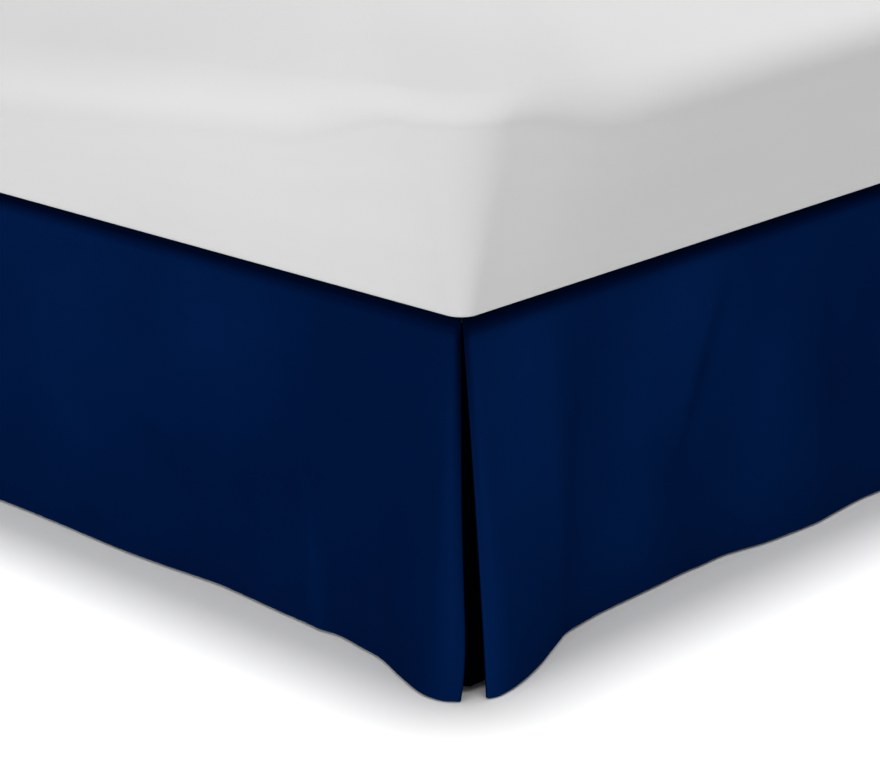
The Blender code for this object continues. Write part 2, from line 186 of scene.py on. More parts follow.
def tinted(nodes, links, fac, dark, light):
    """Colour from dark to light as fac goes from 0 to 1."""
    ramp = nodes.new("ShaderNodeMix")
    ramp.data_type = "RGBA"
    links.new(fac, ramp.inputs["Factor"])
    ramp.inputs["A"].default_value = (*dark, 1.0)
    ramp.inputs["B"].default_value = (*light, 1.0)
    return ramp.outputs["Result"]


def spread(nodes, links, value, low, high, to_low=0.0, to_high=1.0):
    """value from low to high, stretched to between two other ends."""
    node = nodes.new("ShaderNodeMapRange")
    links.new(value, node.inputs["Value"])
    node.inputs["From Min"].default_value = low
    node.inputs["From Max"].default_value = high
    node.inputs["To Min"].default_value = to_low
    node.inputs["To Max"].default_value = to_high
    return node.outputs["Result"]


def bump(nodes, links, shader, height, distance, strength):
    node = nodes.new("ShaderNodeBump")
    node.inputs["Distance"].default_value = distance
    node.inputs["Strength"].default_value = strength
    links.new(height, node.inputs["Height"])
    links.new(node.outputs["Normal"], shader.inputs["Normal"])


# The navy cloth: darkest and lightest colour of its mottle and its painted light and shade, black for painted
# deep shade, spacing of threads, scale of its mottle
NAVY_DARK = (0.0001, 0.0040, 0.0250)
NAVY_LIGHT = (0.0007, 0.0135, 0.0740)
NAVY_PAINTED_BLACK = (0.0001, 0.0003, 0.0010)
NAVY_PITCH = 0.00045
NAVY_MOTTLE = 5.0

# The white cover and the box spring's ticking: darkest and lightest colour, and spacing of threads
WHITE_DARK = (0.475, 0.475, 0.475)
WHITE_LIGHT = (0.495, 0.495, 0.495)
WHITE_PITCH = 0.0008
TICKING_DARK = (0.46, 0.45, 0.42)
TICKING_LIGHT = (0.52, 0.51, 0.48)
TICKING_PITCH = 0.0011

# The frame's paint and the glides' plastic: darkest and lightest colour
PAINT_DARK = (0.018, 0.018, 0.020)
PAINT_LIGHT = (0.032, 0.032, 0.034)
PLASTIC_DARK = (0.012, 0.012, 0.012)
PLASTIC_LIGHT = (0.022, 0.022, 0.022)


def cloth_material(name, dark, light, black, pitch, mottle_scale):
    """Woven cloth on the sheets' own map, in metres, with light and shade painted in from the sheets' tone.

    A painted tone of 0 is plain, 1 the lightest, -1 the darkest and -2 black for painted deep shade.
    """
    material, nodes, links, shader = new_material(name, 0.95, 0.0)
    plan = nodes.new("ShaderNodeUVMap")
    plan.uv_map = "cloth"
    place = plan.outputs["UV"]
    slow = noise_node(nodes, links, place, mottle_scale)
    fine = noise_node(nodes, links, place, mottle_scale * 40, 2.0)
    threads = weave_height(nodes, links, place, pitch, (0, 1))
    grain = math_node(nodes, links, "ADD", slow, math_node(nodes, links, "MULTIPLY", fine, 0.35))
    grain = math_node(nodes, links, "ADD", grain, math_node(nodes, links, "MULTIPLY", threads, 0.25))
    # painted light and shade: the sheets' tone attribute lightens and darkens the cloth, and paints it black
    # below -1
    painted_shading = nodes.new("ShaderNodeAttribute")
    painted_shading.attribute_name = "tone"
    tone = math_node(nodes, links, "MULTIPLY_ADD", painted_shading.outputs["Fac"], 0.5)
    links.new(spread(nodes, links, grain, 0.45, 1.15, 0.35, 0.65), tone.node.inputs[2])
    painted_black_share = spread(nodes, links, painted_shading.outputs["Fac"], -1.0, -2.0)
    cloth = tinted(nodes, links, spread(nodes, links, tone, 0.0, 1.0), dark, light)
    shaded = nodes.new("ShaderNodeMix")
    shaded.data_type = "RGBA"
    links.new(painted_black_share, shaded.inputs["Factor"])
    links.new(cloth, shaded.inputs["A"])
    shaded.inputs["B"].default_value = (*black, 1.0)
    links.new(shaded.outputs["Result"], shader.inputs["Base Color"])
    height = math_node(nodes, links, "ADD", threads, math_node(nodes, links, "MULTIPLY", fine, 0.5))
    bump(nodes, links, shader, height, pitch * 0.4, 0.6)
    return material


def body_cloth(name, dark, light, pitch):
    """Woven cloth on a solid body, its threads along the body's own axes, scaled by 1 + the painted light and
    shade in the body's tone.
    """
    material, nodes, links, shader = new_material(name, 0.9, 0.1)
    place = nodes.new("ShaderNodeTexCoord").outputs["Object"]
    slow = noise_node(nodes, links, place, 3.0)
    fine = noise_node(nodes, links, place, 400.0, 2.0)
    pairs = [weave_height(nodes, links, place, pitch, axes) for axes in ((0, 1), (1, 2), (0, 2))]
    threads = math_node(nodes, links, "ADD", pairs[0], pairs[1])
    threads = math_node(nodes, links, "ADD", threads, pairs[2])
    grain = math_node(nodes, links, "ADD", slow, math_node(nodes, links, "MULTIPLY", fine, 0.4))
    plain = tinted(nodes, links, spread(nodes, links, grain, 0.35, 1.05), dark, light)
    # painted light and shade from the body's tone attribute; a body without it keeps its plain colour
    painted_shading = nodes.new("ShaderNodeAttribute")
    painted_shading.attribute_name = "tone"
    toned = nodes.new("ShaderNodeVectorMath")
    toned.operation = "SCALE"
    links.new(plain, toned.inputs[0])
    links.new(math_node(nodes, links, "ADD", painted_shading.outputs["Fac"], 1.0), toned.inputs["Scale"])
    links.new(toned.outputs[0], shader.inputs["Base Color"])
    height = math_node(nodes, links, "ADD", threads, math_node(nodes, links, "MULTIPLY", fine, 0.8))
    bump(nodes, links, shader, height, pitch * 0.15, 0.3)
    return material


def solid_material(name, dark, light, roughness, grain_scale, grain_depth):
    """A finish with a slow change of tone and a fine grain, in the object's own coordinates."""
    material, nodes, links, shader = new_material(name, roughness, 0.4)
    place = nodes.new("ShaderNodeTexCoord").outputs["Object"]
    slow = noise_node(nodes, links, place, 6.0)
    links.new(tinted(nodes, links, slow, dark, light), shader.inputs["Base Color"])
    bump(nodes, links, shader, noise_node(nodes, links, place, grain_scale, 2.0), grain_depth, 0.5)
    return material


# ---- Shared shapes ----


def mix(start, end, share):
    return start + (end - start) * share


def smooth_step(share):
    share = min(1.0, max(0.0, share))
    return share * share * (3.0 - 2.0 * share)


def curve_through(rows, place):
    """The second column at a place along the first, on a smooth curve through every row."""
    if place <= rows[0][0]:
        return rows[0][1]
    if place >= rows[-1][0]:
        return rows[-1][1]
    last = len(rows) - 1
    index = next(i for i in range(last) if rows[i + 1][0] >= place)
    (x0, y0), (x1, y1) = rows[index], rows[index + 1]

    def slope(i):
        before, after = rows[max(0, i - 1)], rows[min(last, i + 1)]
        return (after[1] - before[1]) / (after[0] - before[0])

    width = x1 - x0
    t = (place - x0) / width
    ease_in = t * (1 - t) ** 2 * width * slope(index)
    ease_out = t * t * (t - 1) * width * slope(index + 1)
    return mix(y0, y1, smooth_step(t)) + ease_in + ease_out


def add_piece(name, mesh, material, slot, *nodes):
    mesh.materials.append(material)
    piece = bpy.data.objects.new(name, mesh)
    bpy.context.scene.collection.objects.link(piece)
    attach(piece, "root")
    if nodes:
        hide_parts(*nodes)
    return piece


# The tone attribute holds the light and shade painted on each point
def store_painted_light_and_shade(mesh, tones):
    mesh.attributes.new("tone", "FLOAT", "POINT").data.foreach_set("value", tones)


def sheet_mesh(name, rows, tones):
    """A sheet through rows of points, with a map of its cloth in metres and a tone of painted light and shade
    for each point.
    """
    width = len(rows[0])
    faces = []
    for i in range(len(rows) - 1):
        for j in range(width - 1):
            a = i * width + j
            faces.append((a, a + 1, a + width + 1, a + width))
    mesh = bpy.data.meshes.new(name)
    mesh.from_pydata([point for row in rows for point in row], [], faces)
    mesh.shade_smooth()
    across, down = cloth_lengths(rows)
    cloth_map = mesh.uv_layers.new(name="cloth")
    for loop in mesh.loops:
        i, j = divmod(loop.vertex_index, width)
        cloth_map.data[loop.index].uv = (across[j], down[-1] - down[i])
    store_painted_light_and_shade(mesh, [tone for row in tones for tone in row])
    return mesh


def cloth_lengths(rows):
    """Lengths along the last row and down the middle column, as the cloth would lie flat."""
    middle = len(rows[0]) // 2
    across, down = [0.0], [0.0]
    for before, after in zip(rows[-1], rows[-1][1:]):
        across.append(across[-1] + math.dist(before, after))
    for before, after in zip(rows, rows[1:]):
        down.append(down[-1] + math.dist(before[middle], after[middle]))
    return across, down


def thicken(piece, thickness):
    solid = piece.modifiers.new("cloth", "SOLIDIFY")
    solid.thickness = thickness
    solid.offset = 0.0


# ---- The drops: the same hem, folds and seam as their solids, drawn finer and with their creases ----

# The hem's plan in rows of (along, out) from the corner where the seams meet
WIDE_TURN = (
    (-0.0420, 0.0515),
    (-0.0280, 0.0610),
    (-0.0020, 0.0630),
    (0.0400, 0.0490),
    (0.0860, 0.0300),
    (0.1220, 0.0230),
    (0.1570, 0.0170),
)
SHORT_TURN = (
    (-0.0225, 0.0610),
    (-0.0110, 0.0640),
    (0.0240, 0.0600),
    (0.0730, 0.0450),
    (0.1350, 0.0185),
    (0.1800, 0.0090),
)
LEFT_WAVES = (
    (0.186, 0.018),
    (0.250, 0.015),
    (0.318, 0.010),
    (0.353, 0.008),
    (0.383, 0.009),
    (0.443, 0.012),
    (0.513, 0.013),
    (0.623, 0.009),
    (0.736, 0.008),
    (0.900, 0.014),
    (1.060, 0.007),
    (1.230, 0.016),
    (1.400, 0.009),
    (1.590, 0.015),
    (1.760, 0.008),
    (1.900, 0.013),
    (SIDE_RUN, 0.010),
)
FOOT_WAVES = (
    (0.217, 0.005),
    (0.287, 0.004),
    (0.393, 0.005),
    (0.432, 0.003),
    (0.464, 0.007),
    (0.495, 0.013),
    (0.561, 0.021),
    (0.597, 0.023),
    (0.642, 0.020),
    (0.691, 0.015),
    (0.740, 0.016),
    (0.840, 0.009),
    (0.950, 0.017),
    (1.080, 0.008),
    (1.200, 0.013),
    (1.290, 0.010),
)
RIGHT_WAVES = (
    (0.240, 0.007),
    (0.350, 0.015),
    (0.480, 0.006),
    (0.640, 0.013),
    (0.820, 0.008),
    (1.010, 0.016),
    (1.190, 0.007),
    (1.370, 0.014),
    (1.560, 0.008),
    (1.740, 0.015),
    (SIDE_RUN, 0.009),
)

# How the drops hang: the hem's curves fade out towards the seam, a little slower than in straight lines
HANG_BOW = 0.18

# The pleat opens towards the hem: a fold hangs from FOLD_START on the seam, and the cloth near it moves with
# it. The wide turn's fold also sways towards the opening, most of all a little above the hem.
FOLD_START = 0.0038
SPREAD = 0.40
FOLD_SWAY = 0.0060
SWAY_SPREAD = 0.06

# How far the hem droops at a pleat's folds, and how far along the hem that is felt
PLEAT_DROOP = 0.0017
DROOP_REACH = 0.042

# The fold at each end of a drop and the short return behind it, at the seam and at the hem
FOLD_RADII = (0.0010, 0.0030)
RETURN_HEADINGS = (math.radians(180), math.radians(150))
RETURN_LENGTH = 0.020
FOLD_STEPS = 8
RETURN_STEPS = 5

# The turn from the top of a drop on to the deck
TURN_RADIUS = 0.008
SEAM_ALLOWANCE = 0.013
MITRE_GAP = 0.0008
FOLD_TOP = 0.003
TURN_STEPS = 10
TURN_Z = SEAM_Z - CAD_CLOTH / 2 - TURN_RADIUS

# Grid spacing along a drop, and heights above the hem where the rows change from fine to coarse
COLUMN_ZONES = ((0.22, 0.0040), (0.90, 0.0065))
FAR_SPACING = 0.010
HEM_STEP = 0.0012
HEM_BAND = 0.024
ROW_STEP = 0.0075

# Soft folds in rows of (along at the start, along at the end, start depth, end depth, half width, height,
# painted tone): the tone paints light above 0 and shade below 0 along each fold, and rows of no height only
# paint it. The widest rows only paint light on a drop towards its hem.
LEFT_FOLDS = (
    (0.560, 0.600, -0.10, 1.05, 0.230, 0.0055, 0.00),
    (0.550, 0.600, -0.55, 0.80, 0.360, 0.0000, 0.36),
    (0.100, 0.250, 0.15, 1.70, 0.260, 0.0000, -0.15),
    (1.000, 1.000, 0.60, 1.60, 3.000, 0.0000, 0.24),
    (0.205, 0.178, 0.52, 1.20, 0.012, 0.0022, 0.30),
    (0.660, 0.560, 0.42, 0.72, 0.030, 0.0016, 0.15),
    (0.480, 0.400, 0.50, 0.76, 0.026, -0.0014, -0.15),
    (0.330, 0.300, 0.10, 0.60, 0.050, 0.0016, 0.10),
    (1.150, 1.200, 0.05, 1.20, 0.060, 0.0045, 0.10),
    (1.620, 1.570, 0.10, 1.25, 0.045, 0.0040, 0.10),
)
FOOT_FOLDS = (
    (0.700, 0.700, 0.60, 1.60, 3.000, 0.0000, 0.24),
    (0.075, 0.060, -0.35, 0.75, 0.062, 0.0000, 0.50),
    (0.120, 0.128, 0.02, 1.10, 0.026, 0.0050, 0.10),
    (0.165, 0.150, 0.10, 1.15, 0.022, -0.0040, -0.25),
    (0.290, 0.255, 0.00, 1.05, 0.055, 0.0042, 0.25),
    (0.370, 0.340, -0.30, 0.60, 0.050, 0.0000, 0.30),
    (0.440, 0.350, 0.08, 0.66, 0.012, -0.0034, -0.50),
    (0.345, 0.380, 0.45, 1.20, 0.040, -0.0040, -0.20),
    (0.520, 0.500, 0.06, 1.10, 0.045, 0.0060, 0.15),
    (0.620, 0.640, 0.06, 1.10, 0.040, -0.0050, -0.20),
    (0.680, 0.680, -0.20, 1.30, 0.100, 0.0000, -0.30),
    (0.900, 0.880, 0.06, 1.20, 0.040, 0.0045, 0.10),
    (1.130, 1.160, 0.10, 1.20, 0.035, -0.0040, -0.10),
)
RIGHT_FOLDS = (
    (1.000, 1.000, 0.60, 1.60, 3.000, 0.0000, 0.24),
    (0.300, 0.330, 0.05, 1.20, 0.045, 0.0045, 0.10),
    (0.700, 0.660, 0.10, 1.20, 0.040, 0.0042, 0.10),
    (1.200, 1.240, 0.05, 1.15, 0.055, -0.0040, -0.10),
    (1.640, 1.600, 0.10, 1.20, 0.045, 0.0042, 0.10),
)

# Painted light and shade on the navy cloth: painted shade added over the left drop, painted light added
# beside a pleat and painted shade on its folds' edges, and painted shadow set under the mattress's edge and
# painted deep shade inside a pleat
LEFT_PAINTED_SHADE = -0.58
PLEAT_PAINTED_LIGHT = 0.60
PLEAT_TONE_REACH = (0.012, 0.045)
ROLL_PAINTED_SHADE = -1.25
ROLL_TONE_REACH = 0.0075
EDGE_PAINTED_SHADOW = -1.55
EDGE_TONE_REACH = 0.014
FOOT_EDGE_TONE_REACH = 0.019
INSIDE_PAINTED_SHADE = -1.95

# The cloth's slight unevenness, how far from a pleat the folds begin, and the dent of the hem's stitching
WAVE_HEIGHT = 0.0014
WAVE_RATE = (6.0, 1.6)
FOLD_FADE = 0.07
STITCH_HEIGHT = 0.019
STITCH_DENT = 0.00035
STITCH_WIDTH = 0.0014


def hang_share(depth):
    """How much of the hem's shape a drop has at a share of its depth."""
    return depth * (1.0 + HANG_BOW * (1.0 - depth))


def mirrored(rows, run):
    """The same turn at the other end of a run."""
    return tuple((run - along, out) for along, out in reversed(rows))


def column_places(rows, cornered):
    """Places along a hem from its first row to its last, closer together near each corner."""
    first, last = rows[0][0], rows[-1][0]
    places = [first]
    while places[-1] < last:
        from_corner = places[-1] - first
        if cornered[1]:
            from_corner = min(from_corner, last - places[-1])
        steps = (step for limit, step in COLUMN_ZONES if from_corner < limit)
        places.append(places[-1] + next(steps, FAR_SPACING))
    stretch = (last - first) / (places[-1] - first)
    return [first + (place - first) * stretch for place in places]


def hang_depths():
    """Shares of the drop's depth from its top to its hem, closer together in the hem's band."""
    height = TURN_Z - HEM_Z
    above = [0.0]
    while above[-1] < height:
        above.append(above[-1] + (HEM_STEP if above[-1] < HEM_BAND else ROW_STEP))
    return [1.0 - min(1.0, rise / above[-1]) for rise in reversed(above)]


def moved_along(place, fold, depth, sway):
    """How far past its hem place, away from the corner, a point lies at one depth."""
    behind = place - fold
    opening = (FOLD_START - fold) * (1.0 - smooth_step(behind / SPREAD)) * (1.0 - hang_share(depth))
    swaying = sway * (1.0 - smooth_step(behind / SWAY_SPREAD)) * math.sin(math.pi * depth**4)
    return opening - swaying


def relief(folds, along, depth, seed):
    """(out, tone): how far the folds and a slight unevenness push a point out, and how much light and shade
    the folds paint on it.
    """
    out, tone = 0.0, 0.0
    for start_along, end_along, start, end, half_width, height, painted_shading in folds:
        share = (depth - start) / (end - start)
        if 0.0 < share < 1.0:
            across = (along - mix(start_along, end_along, share)) / half_width
            strength = math.exp(-across * across) * math.sin(math.pi * share)
            out += height * strength
            tone += painted_shading * strength
    uneven = noise.noise(Vector((along * WAVE_RATE[0], depth * WAVE_RATE[1], seed)))
    return (out + WAVE_HEIGHT * uneven) * smooth_step(depth / 0.15), tone


def hem_dent(depth):
    """The slight dent that the hem's stitching pulls into the cloth."""
    across = ((1.0 - depth) * (TURN_Z - HEM_Z) - STITCH_HEIGHT) / STITCH_WIDTH
    return -STITCH_DENT * math.exp(-across * across)


def front_path(drop, places, depth):
    """The front of a drop at one depth, as (along, out, tone), the tone being painted light and shade."""
    rows, folds, (start_sway, end_sway), seed, drop_painted_shade, edge_reach = drop
    first, last = rows[0][0], rows[-1][0]
    below_seam = depth * (TURN_Z - HEM_Z)
    # share of the painted shadow under the mattress's edge
    edge_share = 1.0 - smooth_step(below_seam / edge_reach)
    pleat_reach = mix(*PLEAT_TONE_REACH, depth)
    path = []
    for place in places:
        along = place
        fade, beside, rolled = 1.0, 0.0, 0.0
        if start_sway is not None:
            along += moved_along(place, first, depth, start_sway)
            fade *= smooth_step((place - first) / FOLD_FADE)
            beside += 1.0 - smooth_step((place - first) / pleat_reach)
            rolled += 1.0 - smooth_step((place - first) / ROLL_TONE_REACH)
        if end_sway is not None:
            along -= moved_along(FOOT_RUN - place, FOOT_RUN - last, depth, end_sway)
            fade *= smooth_step((last - place) / FOLD_FADE)
            beside += 1.0 - smooth_step((last - place) / pleat_reach)
            rolled += 1.0 - smooth_step((last - place) / ROLL_TONE_REACH)
        out = curve_through(rows, place) * hang_share(depth)
        push, tone = relief(folds, place, depth, seed)
        # painted light beside a pleat and painted shade where the folds' edges roll away
        tone += PLEAT_PAINTED_LIGHT * beside * smooth_step(2.0 * depth) + ROLL_PAINTED_SHADE * rolled * (1.0 - depth)
        # painted shadow under the mattress's edge over the rest of the painted light and shade
        tone = mix(drop_painted_shade + tone, EDGE_PAINTED_SHADOW, edge_share)
        path.append((along, out + push * fade + hem_dent(depth), tone))
    return path


def turn_in(path, depth):
    """Continues a path past its end, round the fold and back behind the front as the return, painted into
    deep shade.
    """
    (along0, out0, _), (along1, out1, tone) = path[-2:]
    side = math.copysign(1.0, along1 - along0)
    heading = math.atan2(out0 - out1, abs(along1 - along0))
    last_heading = mix(*RETURN_HEADINGS, depth)
    step = (last_heading - heading) / FOLD_STEPS
    chord = 2.0 * mix(*FOLD_RADII, depth) * math.sin(step / 2)
    legs = []
    for i in range(FOLD_STEPS):
        turned = (i + 0.5) / FOLD_STEPS
        # painted deep shade growing round the fold, and over all of the return
        leg_tone = mix(tone, INSIDE_PAINTED_SHADE, smooth_step(2.0 * turned - 0.5))
        legs.append((chord, heading + step * (i + 0.5), leg_tone))
    legs += [(RETURN_LENGTH / RETURN_STEPS, last_heading, INSIDE_PAINTED_SHADE)] * RETURN_STEPS
    for length, angle, leg_tone in legs:
        along, out, _ = path[-1]
        path.append((along + side * length * math.cos(angle), out - length * math.sin(angle), leg_tone))


def drop_path(drop, places, depth):
    """A drop's whole plan at one depth, with its folded ends."""
    path = front_path(drop, places, depth)
    start_sway, end_sway = drop[2]
    if end_sway is not None:
        turn_in(path, depth)
    if start_sway is not None:
        path.reverse()
        turn_in(path, depth)
        path.reverse()
    return path


def seam_turn(travel):
    """(rise, inward) after a distance along the turn from the drop's top on to the deck."""
    quarter = TURN_RADIUS * math.pi / 2
    if travel < quarter:
        angle = travel / TURN_RADIUS
        return TURN_RADIUS * math.sin(angle), TURN_RADIUS * (1.0 - math.cos(angle))
    return TURN_RADIUS, TURN_RADIUS + travel - quarter


def travel_to(inward):
    """The distance along that turn which ends this far inward."""
    if inward < TURN_RADIUS:
        return TURN_RADIUS * math.acos(1.0 - inward / TURN_RADIUS)
    return TURN_RADIUS * math.pi / 2 + inward - TURN_RADIUS


def hem_droop(drop, along):
    """How much lower than the rest of its hem a drop ends at a place near a pleat."""
    rows, _, (start_sway, end_sway) = drop[:3]
    nearness = 0.0
    if start_sway is not None:
        nearness += math.exp(-(((along - rows[0][0]) / DROOP_REACH) ** 2))
    if end_sway is not None:
        nearness += math.exp(-(((rows[-1][0] - along) / DROOP_REACH) ** 2))
    return PLEAT_DROOP * nearness


def drop_rows(drop):
    """Rows of (along, out, z, tone) on a drop's middle surface, from the seam allowance down to the hem; tone
    is painted light and shade.
    """
    cornered = [sway is not None for sway in drop[2]]
    places = column_places(drop[0], cornered)
    path = drop_path(drop, places, 0.0)
    folded = FOLD_STEPS + RETURN_STEPS
    first_front = folded * cornered[0]
    last_front = len(path) - 1 - folded * cornered[1]
    grid = []
    for i in range(TURN_STEPS, 0, -1):
        row = []
        for j, (along, out, tone) in enumerate(path):
            if first_front <= j <= last_front:
                to_corner = min([along] * cornered[0] + [FOOT_RUN - along] * cornered[1])
                reach = min(TURN_RADIUS + SEAM_ALLOWANCE, to_corner - MITRE_GAP)
                rise, inward = seam_turn(travel_to(reach) * i / TURN_STEPS)
            else:
                rise, inward = FOLD_TOP * i / TURN_STEPS, 0.0
            # the turn on to the deck is painted at least as dark as the painted shadow under the mattress's
            # edge
            row.append((along, out - inward, TURN_Z + rise, min(tone, EDGE_PAINTED_SHADOW)))
        grid.append(row)
    for depth in hang_depths():
        row = []
        for along, out, tone in drop_path(drop, places, depth):
            row.append((along, out, mix(TURN_Z, HEM_Z - hem_droop(drop, along), depth), tone))
        grid.append(row)
    return grid


def place_left(along, out, z):
    return -SEAM_X - out, SEAM_Y + along, z


def place_foot(along, out, z):
    return -SEAM_X + along, SEAM_Y - out, z


def place_right(along, out, z):
    return SEAM_X + out, SEAM_Y + along, z


def add_sheet(name, node, rows, tones, material):
    """A thin sheet of cloth through the rows; its lengths as it lies flat are worked out but not used."""
    piece = add_piece(name, sheet_mesh(name, rows, tones), material, "navy_cloth", node)
    thicken(piece, CLOTH)
    across, down = cloth_lengths(rows)


def make_drops(material):
    """The left corner's pleat has its wide turn on the left side, the right corner's on the foot."""
    left = WIDE_TURN + LEFT_WAVES
    foot = SHORT_TURN + FOOT_WAVES + mirrored(WIDE_TURN, FOOT_RUN)
    right = SHORT_TURN + RIGHT_WAVES
    drops = (
        # the left drop gets painted shade all over; each drop has its own reach of the painted shadow under
        # the mattress's edge
        ("left", (left, LEFT_FOLDS, (FOLD_SWAY, None), 1.3, LEFT_PAINTED_SHADE, EDGE_TONE_REACH), place_left),
        ("foot", (foot, FOOT_FOLDS, (0.0, FOLD_SWAY), 4.7, 0.0, FOOT_EDGE_TONE_REACH), place_foot),
        ("right", (right, RIGHT_FOLDS, (0.0, None), 8.1, 0.0, EDGE_TONE_REACH), place_right),
    )
    for side, drop, placed in drops:
        grid = drop_rows(drop)
        rows = [[placed(*point[:3]) for point in row] for row in grid]
        tones = [[point[3] for point in row] for row in grid]
        add_sheet(f"drop_{side}", f"skirt_drop_{side}", rows, tones, material)


# ---- The underlay behind each pleat, and the deck ----

# The underlay's plan in rows of (along the foot, along the side), from the corner where the seams meet
UNDERLAY_SEAM = (
    (0.0038, 0.0600),
    (0.0038, 0.0350),
    (0.0038, 0.0170),
    (0.0050, 0.0085),
    (0.0085, 0.0050),
    (0.0170, 0.0038),
    (0.0350, 0.0038),
    (0.0600, 0.0038),
)
UNDERLAY_HEM = (
    (-0.0190, 0.0200),
    (-0.0255, -0.0030),
    (-0.0290, -0.0240),
    (-0.0262, -0.0345),
    (-0.0175, -0.0350),
    (-0.0065, -0.0357),
    (0.0090, -0.0330),
    (0.0290, -0.0240),
)
UNDERLAY_LIFT = 0.004
UNDERLAY_COLUMNS = 46
DECK_STEP = 0.030
DECK_CORNER_STEPS = 10
DECK_CORNER = 0.015


def along_curve(points, count):
    """Evenly spaced points on a smooth plan curve through the points given."""
    lengths = [0.0]
    for before, after in zip(points, points[1:]):
        lengths.append(lengths[-1] + math.dist(before, after))
    x_rows = tuple(zip(lengths, (point[0] for point in points)))
    y_rows = tuple(zip(lengths, (point[1] for point in points)))
    places = [lengths[-1] * i / (count - 1) for i in range(count)]
    return [(curve_through(x_rows, place), curve_through(y_rows, place)) for place in places]


def make_underlays(material):
    seam = along_curve(UNDERLAY_SEAM, UNDERLAY_COLUMNS)
    hem = along_curve(UNDERLAY_HEM, UNDERLAY_COLUMNS)
    corners = (("left", 1.0, 0.0, -SEAM_X), ("right", 0.0, 1.0, SEAM_X))
    for side, cosine, sine, corner_x in corners:
        grid = []
        for depth in hang_depths():
            z = mix(TURN_Z, HEM_Z + UNDERLAY_LIFT, depth)
            share = hang_share(depth)
            row = []
            for (x0, y0), (x1, y1) in zip(seam, hem):
                x, y = mix(x0, x1, share), mix(y0, y1, share)
                row.append((corner_x + cosine * x - sine * y, SEAM_Y + sine * x + cosine * y, z))
            grid.append(row)
        # painted deep shade: each underlay is drawn near black all over
        tones = [[INSIDE_PAINTED_SHADE] * len(row) for row in grid]
        node = f"pleat_underlay_{side}"
        add_sheet(f"underlay_{side}", node, grid, tones, material)


def make_deck(material):
    """The flat cloth under the mattress, with round corners at the foot."""
    z = (DECK_LOW.z + DECK_HIGH.z) / 2
    length = DECK_HIGH.y - DECK_LOW.y
    steps = math.ceil(length / DECK_STEP)
    turns = [math.pi / 2 * i / DECK_CORNER_STEPS for i in range(DECK_CORNER_STEPS)]
    starts = [DECK_CORNER * (1.0 - math.cos(turn)) for turn in turns]
    starts += [mix(DECK_CORNER, length, i / steps) for i in range(steps + 1)]
    columns = math.ceil((DECK_HIGH.x - DECK_LOW.x) / DECK_STEP)
    rows = []
    for start in starts:
        left_over = max(0.0, DECK_CORNER - start)
        trimmed = DECK_CORNER - math.sqrt(max(0.0, DECK_CORNER**2 - left_over**2))
        low, high = DECK_LOW.x + trimmed, DECK_HIGH.x - trimmed
        rows.append([(mix(low, high, i / columns), DECK_LOW.y + start, z) for i in range(columns + 1)])
    rows.reverse()
    tones = [[0.0] * len(row) for row in rows]
    add_sheet("deck", "skirt_deck", rows, tones, material)


# ---- The bed ----

CORNER_STEPS = 14
SIDE_STEPS = (40, 52)

# The mattress: corner radius at its bottom edge, at the top of its sides and on top, and the turn at its
# bottom edge in rows of (rise, inset)
MATTRESS_CORNERS = (0.020, 0.075, 0.075)
BOTTOM_TURN = ((0.0, 0.0025), (0.0015, 0.0008), (0.004, 0.0))

# Height of its rounded top edge at a corner, past CORNER_REACH from it, midway along a side and along an end
EDGE_HEIGHTS = (0.032, 0.058, 0.098, 0.047)
EDGE_REACH = 1.15

# Its border falls below its corners within CORNER_REACH of each, and along a side sags on over SAG_REACH
CORNER_RISE = 0.016
CORNER_REACH = 0.19
SIDE_SAG = 0.030
SAG_REACH = 0.80
CROWN_REACH = 0.42

SIDE_ROWS = 16
EDGE_ROWS = 16
TOP_ROWS = 26
TOP_END = 0.022
SIDE_BULGE = 0.0020
COVER_WAVE = 0.0006
COVER_WAVE_RATE = 2.5

# Painted light and shade on the white cover, lighter above 0 and darker below: painted shade at its foot
# corners, painted light on the foot face beside them, a painted highlight in a patch on its left side (its
# centre's distance from the foot and share of the height), and painted light and shade on top at the left
# foot corner, further up the left side and to the right
CORNER_PAINTED_SHADE = -0.06
CORNER_TONE_REACH = 0.06
FACE_PAINTED_LIGHT = 0.100
FACE_TONE_REACH = 0.16
PATCH_PAINTED_HIGHLIGHT = 0.05
PATCH_CENTRE = (0.40, 0.70)
PATCH_REACH = (0.30, 0.45)
TOP_PAINTED_LIGHT_AND_SHADE = (-0.03, -0.12, 0.06)
TOP_TONE_REACH = 0.70


def rim(steps):
    """Columns round a rectangle as (quarter, place): place is up to 1 on a corner and 1 to 2 on a side."""
    columns = []
    for quarter in range(4):
        columns += [(quarter, i / CORNER_STEPS) for i in range(CORNER_STEPS)]
        side_steps = steps[quarter % 2]
        columns += [(quarter, 1.0 + i / side_steps) for i in range(side_steps)]
    return columns


def corner_point(low, high, radius, quarter, share):
    """A point on the quarter round at one corner of a plan rectangle."""
    centre_x = low[0] + radius if quarter in (1, 2) else high[0] - radius
    centre_y = low[1] + radius if quarter in (2, 3) else high[1] - radius
    angle = math.pi / 2 * (quarter + share)
    return centre_x + radius * math.cos(angle), centre_y + radius * math.sin(angle)


def rim_point(low, high, inset, radius, column):
    """A column's point in plan at an inset from a rectangle with round corners."""
    quarter, place = column
    low = (low.x + inset, low.y + inset)
    high = (high.x - inset, high.y - inset)
    if place < 1.0:
        return corner_point(low, high, radius, quarter, place)
    start = corner_point(low, high, radius, quarter, 1.0)
    end = corner_point(low, high, radius, (quarter + 1) % 4, 0.0)
    return mix(start[0], end[0], place - 1.0), mix(start[1], end[1], place - 1.0)


